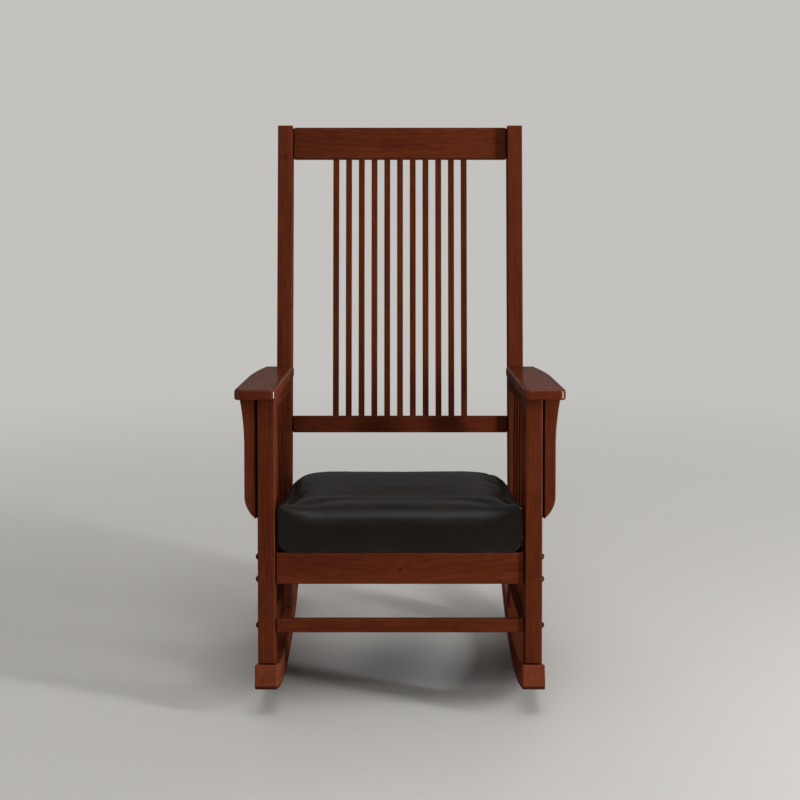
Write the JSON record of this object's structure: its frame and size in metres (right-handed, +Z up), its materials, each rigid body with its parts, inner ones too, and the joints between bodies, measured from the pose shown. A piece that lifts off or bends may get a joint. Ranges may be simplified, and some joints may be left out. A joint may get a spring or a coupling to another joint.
{
  "type": "rocking chair",
  "caption": "Wooden rocking chair with a tall reclined spindle back, slatted sides, flat arms on corbels, curved rockers and a thick black leather seat.",
  "frame": {"origin": "on the floor, at the middle of the chair's box", "axes": "+Z up, -Y the way the chair faces, +X to the right as seen from the front"},
  "size_m": [0.668, 0.8942, 1.1537],
  "materials": {
    "stained_wood": "reddish brown stain under satin lacquer",
    "leather": "black, satin, fine grain",
    "foam": "open foam",
    "plywood": "sanded, bare",
    "bare_wood": "planed, bare",
    "steel": "zinc plated"
  },
  "bodies": {
    "root": {"arm_dowels": "bare_wood", "arm_left": "stained_wood", "arm_rail_left": "stained_wood", "arm_rail_right": "stained_wood", "arm_right": "stained_wood", "back_spindle_01": "stained_wood", "back_spindle_02": "stained_wood", "back_spindle_03": "stained_wood", "back_spindle_04": "stained_wood", "back_spindle_05": "stained_wood", "back_spindle_06": "stained_wood", "back_spindle_07": "stained_wood", "back_spindle_08": "stained_wood", "back_spindle_09": "stained_wood", "back_spindle_10": "stained_wood", "back_spindle_11": "stained_wood", "barrel_nuts": "steel", "button_plugs": "stained_wood", "corbel_dowels": "bare_wood", "corbel_left": "stained_wood", "corbel_right": "stained_wood", "corner_block_front_left": "stained_wood", "corner_block_front_right": "stained_wood", "corner_block_rear_left": "stained_wood", "corner_block_rear_right": "stained_wood", "crest_rail": "stained_wood", "frame_bolts": "steel", "front_apron": "stained_wood", "front_leg_left": "stained_wood", "front_leg_right": "stained_wood", "front_stretcher": "stained_wood", "lower_back_rail": "stained_wood", "rear_post_left": "stained_wood", "rear_post_right": "stained_wood", "rear_seat_rail": "stained_wood", "rocker_dowels": "bare_wood", "rocker_left": "stained_wood", "rocker_right": "stained_wood", "seat_board": "plywood", "seat_cleat_left": "stained_wood", "seat_cleat_right": "stained_wood", "seat_cover": "leather", "seat_foam": "foam", "seat_rail_left": "stained_wood", "seat_rail_right": "stained_wood", "seat_screws": "steel", "side_slat_left_1": "stained_wood", "side_slat_left_2": "stained_wood", "side_slat_left_3": "stained_wood", "side_slat_left_4": "stained_wood", "side_slat_left_5": "stained_wood", "side_slat_right_1": "stained_wood", "side_slat_right_2": "stained_wood", "side_slat_right_3": "stained_wood", "side_slat_right_4": "stained_wood", "side_slat_right_5": "stained_wood", "side_stretcher_left": "stained_wood", "side_stretcher_right": "stained_wood"}
  },
  "joints": []
}
